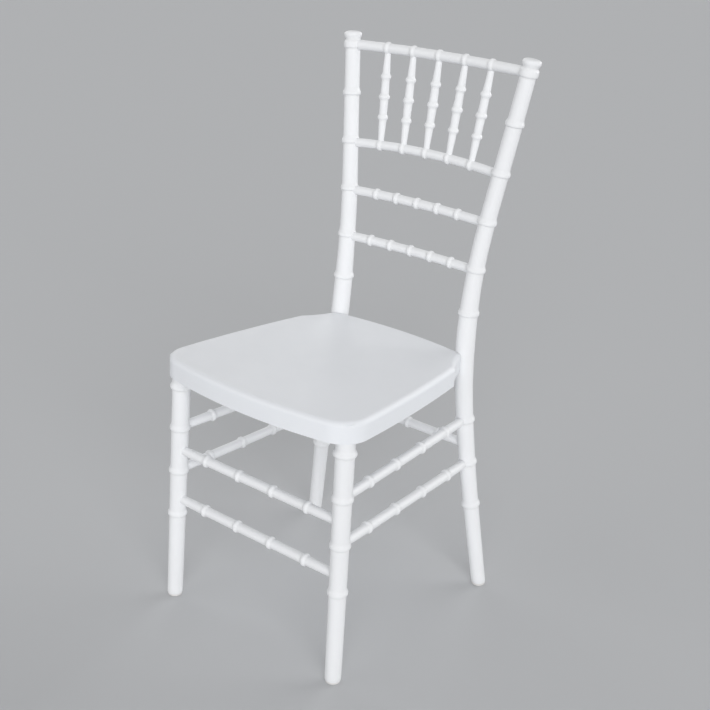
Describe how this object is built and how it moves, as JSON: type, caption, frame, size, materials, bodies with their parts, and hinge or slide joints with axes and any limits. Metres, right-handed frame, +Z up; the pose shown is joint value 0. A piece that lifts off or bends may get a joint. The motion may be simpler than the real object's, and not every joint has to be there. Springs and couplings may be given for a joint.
{
  "type": "chiavari chair",
  "caption": "Slender banquet chair with bamboo-style turned posts, a ladder and spindle back, ringed stretchers and a moulded tray seat.",
  "frame": {"origin": "on the floor, under the middle of the chair's outline", "axes": "+Z up; the chair faces -Y; +X is on the right when the chair is seen from the front"},
  "size_m": [0.4104, 0.4706, 0.922],
  "materials": {
    "frame_plastic": "satin white moulded plastic",
    "seat_plastic": "satin white moulded plastic, fine grain",
    "glide_plastic": "matt off-white plastic",
    "zinc_steel": "bright zinc",
    "brass_insert": "bright"
  },
  "bodies": {
    "root": {"rear_post_right": "frame_plastic", "rear_post_left": "frame_plastic", "front_leg_right": "frame_plastic", "front_leg_left": "frame_plastic", "top_rail": "frame_plastic", "spindle_rail": "frame_plastic", "ladder_rail_upper": "frame_plastic", "ladder_rail_lower": "frame_plastic", "spindle_1": "frame_plastic", "spindle_2": "frame_plastic", "spindle_3": "frame_plastic", "spindle_4": "frame_plastic", "spindle_5": "frame_plastic", "front_stretcher_upper": "frame_plastic", "front_stretcher_lower": "frame_plastic", "side_stretcher_right_upper": "frame_plastic", "side_stretcher_right_lower": "frame_plastic", "side_stretcher_left_upper": "frame_plastic", "side_stretcher_left_lower": "frame_plastic", "rear_stretcher": "frame_plastic", "seat": "seat_plastic", "front_seat_bolts": "zinc_steel", "rear_seat_bolts": "zinc_steel", "seat_bolt_washers": "zinc_steel", "threaded_inserts": "brass_insert", "glide_front_right": "glide_plastic", "glide_front_left": "glide_plastic", "glide_rear_right": "glide_plastic", "glide_rear_left": "glide_plastic"}
  },
  "joints": []
}
